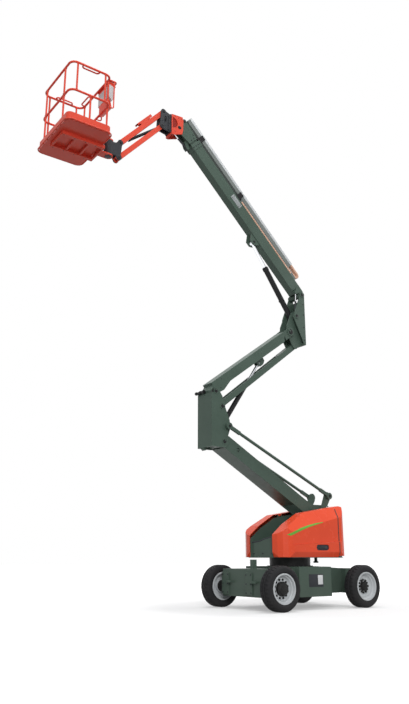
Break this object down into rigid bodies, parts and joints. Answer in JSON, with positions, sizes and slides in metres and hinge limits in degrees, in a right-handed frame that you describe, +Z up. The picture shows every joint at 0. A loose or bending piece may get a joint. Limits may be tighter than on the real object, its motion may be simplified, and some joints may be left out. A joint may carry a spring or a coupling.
{
  "type": "articulating boom lift",
  "caption": "Articulating boom lift with a slewing turret, two parallel-linkage arms, a telescopic boom, a jib and a railed work platform.",
  "frame": {"origin": "on the ground under the turret's slew axis", "axes": "+X towards the platform, +Y to the machine's left, +Z up"},
  "size_m": [6.3143, 1.84, 8.9399],
  "materials": {
    "green_paint": "satin",
    "orange_cast": "satin",
    "orange_shell": "gloss",
    "coral_paint": "satin",
    "charcoal_paint": "satin",
    "black_paint": "satin",
    "silver_paint": "satin",
    "chrome": "polished",
    "tyre": "matte",
    "grey_alloy": "satin",
    "sand_plastic": "matte",
    "dark_plastic": "matte",
    "grey_plastic": "satin"
  },
  "bodies": {
    "chassis": {"chassis_frame": "green_paint", "rear_neck": "green_paint", "front_axle": "black_paint", "rear_axle": "green_paint", "slew_ring": "black_paint"},
    "knuckle_left": {"knuckle_left": "black_paint"},
    "knuckle_right": {"knuckle_right": "black_paint"},
    "steer_rod": {"steer_rod": "chrome"},
    "wheel_front_left": {"tyre_front_left": "tyre", "wheel_front_left": "silver_paint", "hub_front_left": "black_paint"},
    "wheel_front_right": {"tyre_front_right": "tyre", "wheel_front_right": "silver_paint", "hub_front_right": "black_paint"},
    "wheel_rear_left": {"tyre_rear_left": "tyre", "wheel_rear_left": "silver_paint", "hub_rear_left": "black_paint"},
    "wheel_rear_right": {"tyre_rear_right": "tyre", "wheel_rear_right": "silver_paint", "hub_rear_right": "black_paint"},
    "turret": {"turntable": "green_paint", "counterweight": "orange_cast", "power_packs": "dark_plastic"},
    "hood_left": {"hood_left": "orange_shell"},
    "hood_right": {"hood_right": "orange_shell"},
    "lower_arm": {"lower_arm": "green_paint"},
    "lower_tie_rods": {"lower_tie_rods": "green_paint"},
    "lower_lift_barrel": {"lower_lift_barrel": "black_paint"},
    "lower_lift_rod": {"lower_lift_rod": "chrome"},
    "mid_knuckle": {"mid_knuckle": "green_paint"},
    "upper_arm": {"upper_arm": "green_paint"},
    "upper_tie_rod": {"upper_tie_rod": "green_paint"},
    "upper_lift_barrel": {"upper_lift_barrel": "black_paint"},
    "upper_lift_rod": {"upper_lift_rod": "chrome"},
    "top_knuckle": {"top_knuckle": "green_paint"},
    "boom": {"boom_tube": "green_paint", "chain_tray": "grey_alloy", "chain_run": "sand_plastic"},
    "boom_lift_barrel": {"boom_lift_barrel": "black_paint"},
    "boom_lift_rod": {"boom_lift_rod": "chrome"},
    "level_barrel": {"level_barrel": "charcoal_paint"},
    "level_rod": {"level_rod": "chrome"},
    "energy_chain": {"energy_chain": "sand_plastic"},
    "fly": {"boom_fly": "green_paint", "hose_tube": "grey_alloy"},
    "nose_barrel": {"nose_barrel": "charcoal_paint"},
    "nose_rod": {"nose_rod": "chrome"},
    "jib_mount": {"jib_mount": "coral_paint", "jib_bracket": "charcoal_paint"},
    "jib_upper_link": {"jib_upper_link": "coral_paint"},
    "jib_lower_link": {"jib_lower_link": "coral_paint"},
    "jib_lift_barrel": {"jib_lift_barrel": "black_paint"},
    "jib_lift_rod": {"jib_lift_rod": "chrome"},
    "jib_head": {"jib_head": "charcoal_paint"},
    "platform": {"platform_support": "coral_paint", "platform_floor": "coral_paint", "platform_rails": "coral_paint", "console": "grey_plastic"}
  },
  "joints": [
    {"name": "wheel_front_left_spin", "type": "hinge", "parent": "chassis", "child": "wheel_front_left", "pos_m": [0.955, 0.8, 0.355], "axis": [0, 1, 0], "continuous": true},
    {"name": "wheel_front_right_spin", "type": "hinge", "parent": "chassis", "child": "wheel_front_right", "pos_m": [0.955, -0.8, 0.355], "axis": [0, 1, 0], "continuous": true},
    {"name": "wheel_rear_left_spin", "type": "hinge", "parent": "knuckle_left", "child": "wheel_rear_left", "pos_m": [-0.955, 0.8, 0.355], "axis": [0, 1, 0], "continuous": true},
    {"name": "wheel_rear_right_spin", "type": "hinge", "parent": "knuckle_right", "child": "wheel_rear_right", "pos_m": [-0.955, -0.8, 0.355], "axis": [0, 1, 0], "continuous": true},
    {"name": "steer", "type": "hinge", "parent": "chassis", "child": "knuckle_left", "pos_m": [-0.955, 0.628, 0.355], "axis": [0, 0, 1], "range_deg": [-35, 35]},
    {"name": "knuckle_right_steer", "type": "hinge", "parent": "chassis", "child": "knuckle_right", "pos_m": [-0.955, -0.628, 0.355], "axis": [0, 0, 1], "range_deg": [-35.01, 35.01]},
    {"name": "steer_rod_slide", "type": "slide", "parent": "chassis", "child": "steer_rod", "axis": [0, 1, 0], "range_m": [-0.08804, 0.08804]},
    {"name": "turret_slew", "type": "hinge", "parent": "chassis", "child": "turret", "pos_m": [0, 0, 0.83], "axis": [0, 0, 1], "range_deg": [-177.5, 177.5]},
    {"name": "hood_left_open", "type": "hinge", "parent": "turret", "child": "hood_left", "pos_m": [-0.64, 0.317, 1.67977], "axis": [0.9861, 0, -0.1663], "range_deg": [0, 65]},
    {"name": "hood_right_open", "type": "hinge", "parent": "turret", "child": "hood_right", "pos_m": [-0.64, -0.317, 1.67977], "axis": [-0.9861, 0, 0.1663], "range_deg": [0, 65]},
    {"name": "lower_arm_lift", "type": "hinge", "parent": "turret", "child": "lower_arm", "pos_m": [-0.735, 0, 1.666], "axis": [0, -1, 0], "range_deg": [-34.66, 45.34]},
    {"name": "lower_tie_rods_swing", "type": "hinge", "parent": "turret", "child": "lower_tie_rods", "pos_m": [-0.8, 0, 1.93], "axis": [0, -1, 0], "range_deg": [-34.67, 45.35]},
    {"name": "mid_knuckle_level", "type": "hinge", "parent": "lower_arm", "child": "mid_knuckle", "pos_m": [1.59516, 0, 2.73578], "axis": [0, -1, 0], "range_deg": [-45.35, 34.67]},
    {"name": "lower_lift_tilt", "type": "hinge", "parent": "turret", "child": "lower_lift_barrel", "pos_m": [-0.25, 0, 0.93], "axis": [0, -1, 0], "range_deg": [-5.35, 4.2]},
    {"name": "lower_lift_stroke", "type": "slide", "parent": "lower_lift_barrel", "child": "lower_lift_rod", "axis": [-0.295, 0, 0.9555], "range_m": [-0.14337, 0.18693]},
    {"name": "upper_arm_lift", "type": "hinge", "parent": "mid_knuckle", "child": "upper_arm", "pos_m": [1.77516, 0, 3.59878], "axis": [0, 1, 0], "range_deg": [-29.6, 34.4]},
    {"name": "upper_tie_rod_swing", "type": "hinge", "parent": "mid_knuckle", "child": "upper_tie_rod", "pos_m": [1.63216, 0, 3.34678], "axis": [0, 1, 0], "range_deg": [-29.61, 34.41]},
    {"name": "top_knuckle_level", "type": "hinge", "parent": "upper_arm", "child": "top_knuckle", "pos_m": [-0.09068, 0, 5.03568], "axis": [0, 1, 0], "range_deg": [-34.41, 29.61]},
    {"name": "upper_lift_tilt", "type": "hinge", "parent": "mid_knuckle", "child": "upper_lift_barrel", "pos_m": [1.53016, 0, 2.99978], "axis": [0, -1, 0], "range_deg": [-27.3, 23.56]},
    {"name": "upper_lift_stroke", "type": "slide", "parent": "upper_lift_barrel", "child": "upper_lift_rod", "axis": [-0.5631, 0, 0.8264], "range_m": [-0.26502, 0.30767]},
    {"name": "boom_lift", "type": "hinge", "parent": "top_knuckle", "child": "boom", "pos_m": [-0.39968, 0, 5.85968], "axis": [0, -1, 0], "range_deg": [-54, 31]},
    {"name": "boom_lift_tilt", "type": "hinge", "parent": "boom", "child": "boom_lift_rod", "pos_m": [0.7233, 0, 6.74672], "axis": [0, -1, 0], "range_deg": [-4.52, 7.51]},
    {"name": "boom_lift_stroke", "type": "slide", "parent": "boom_lift_rod", "child": "boom_lift_barrel", "axis": [-0.5738, 0, -0.819], "range_m": [-0.39605, 0.22822]},
    {"name": "level_tilt", "type": "hinge", "parent": "top_knuckle", "child": "level_barrel", "pos_m": [-0.23668, 0, 5.37668], "axis": [0, -1, 0], "range_deg": [-2.26, 3.57]},
    {"name": "level_stroke", "type": "slide", "parent": "level_barrel", "child": "level_rod", "axis": [-0.0691, 0, 0.9976], "range_m": [-0.11247, 0.06542]},
    {"name": "telescope", "type": "slide", "parent": "boom", "child": "fly", "axis": [0.7193, 0, 0.6947], "range_m": [0, 2.9]},
    {"name": "energy_chain_roll", "type": "slide", "parent": "boom", "child": "energy_chain", "axis": [0.7193, 0, 0.6947], "range_m": [0, 1.452]},
    {"name": "jib_mount_level", "type": "hinge", "parent": "fly", "child": "jib_mount", "pos_m": [2.51981, 0, 8.58029], "axis": [0, -1, 0], "range_deg": [-31.01, 54.01]},
    {"name": "nose_tilt", "type": "hinge", "parent": "fly", "child": "nose_barrel", "pos_m": [2.28372, 0, 8.26334], "axis": [0, -1, 0], "range_deg": [-1.61, 2.43]},
    {"name": "nose_stroke", "type": "slide", "parent": "nose_barrel", "child": "nose_rod", "axis": [0.7967, 0, 0.6043], "range_m": [-0.05619, 0.09639]},
    {"name": "jib_lift", "type": "hinge", "parent": "jib_mount", "child": "jib_upper_link", "pos_m": [2.85381, 0, 8.81229], "axis": [0, 1, 0], "range_deg": [-118.5, 16.5]},
    {"name": "jib_lower_link_swing", "type": "hinge", "parent": "jib_mount", "child": "jib_lower_link", "pos_m": [2.87381, 0, 8.51229], "axis": [0, 1, 0], "range_deg": [-118.51, 16.51]},
    {"name": "jib_head_level", "type": "hinge", "parent": "jib_upper_link", "child": "jib_head", "pos_m": [3.73045, 0, 7.82142], "axis": [0, 1, 0], "range_deg": [-16.51, 118.51]},
    {"name": "jib_lift_tilt", "type": "hinge", "parent": "jib_mount", "child": "jib_lift_barrel", "pos_m": [2.87381, 0, 8.51229], "axis": [0, -1, 0], "range_deg": [-16.35, 114.33]},
    {"name": "jib_lift_stroke", "type": "slide", "parent": "jib_lift_barrel", "child": "jib_lift_rod", "axis": [0.7784, 0, -0.6278], "range_m": [-0.07158, 0.50174]},
    {"name": "platform_turn", "type": "hinge", "parent": "jib_head", "child": "platform", "pos_m": [3.93045, 0, 7.66142], "axis": [0, 0, -1], "range_deg": [-80, 80]}
  ],
  "couplings": [
    {"joint": "knuckle_right_steer", "follows": "steer", "ratio": 1},
    {"joint": "steer_rod_slide", "follows": "steer", "m_per_rad": -0.14084},
    {"joint": "lower_tie_rods_swing", "follows": "lower_arm_lift", "ratio": 1},
    {"joint": "mid_knuckle_level", "follows": "lower_arm_lift", "ratio": -1},
    {"joint": "lower_lift_tilt", "follows": "lower_arm_lift", "ratio": -0.10689},
    {"joint": "lower_lift_stroke", "follows": "lower_arm_lift", "m_per_rad": 0.23369},
    {"joint": "upper_tie_rod_swing", "follows": "upper_arm_lift", "ratio": 1},
    {"joint": "top_knuckle_level", "follows": "upper_arm_lift", "ratio": -1},
    {"joint": "upper_lift_tilt", "follows": "upper_arm_lift", "ratio": -0.77915},
    {"joint": "upper_lift_stroke", "follows": "upper_arm_lift", "m_per_rad": 0.50911},
    {"joint": "boom_lift_tilt", "follows": "boom_lift", "ratio": -0.12973},
    {"joint": "boom_lift_stroke", "follows": "boom_lift", "m_per_rad": 0.4181},
    {"joint": "level_tilt", "follows": "boom_lift", "ratio": -0.056827},
    {"joint": "level_stroke", "follows": "boom_lift", "m_per_rad": 0.11722},
    {"joint": "energy_chain_roll", "follows": "telescope", "ratio": 0.5},
    {"joint": "jib_mount_level", "follows": "boom_lift", "ratio": -1},
    {"joint": "nose_tilt", "follows": "boom_lift", "ratio": -0.035772},
    {"joint": "nose_stroke", "follows": "boom_lift", "m_per_rad": -0.10015},
    {"joint": "jib_lower_link_swing", "follows": "jib_lift", "ratio": 1},
    {"joint": "jib_head_level", "follows": "jib_lift", "ratio": -1},
    {"joint": "jib_lift_tilt", "follows": "jib_lift", "ratio": -0.9606},
    {"joint": "jib_lift_stroke", "follows": "jib_lift", "m_per_rad": -0.24163}
  ]
}
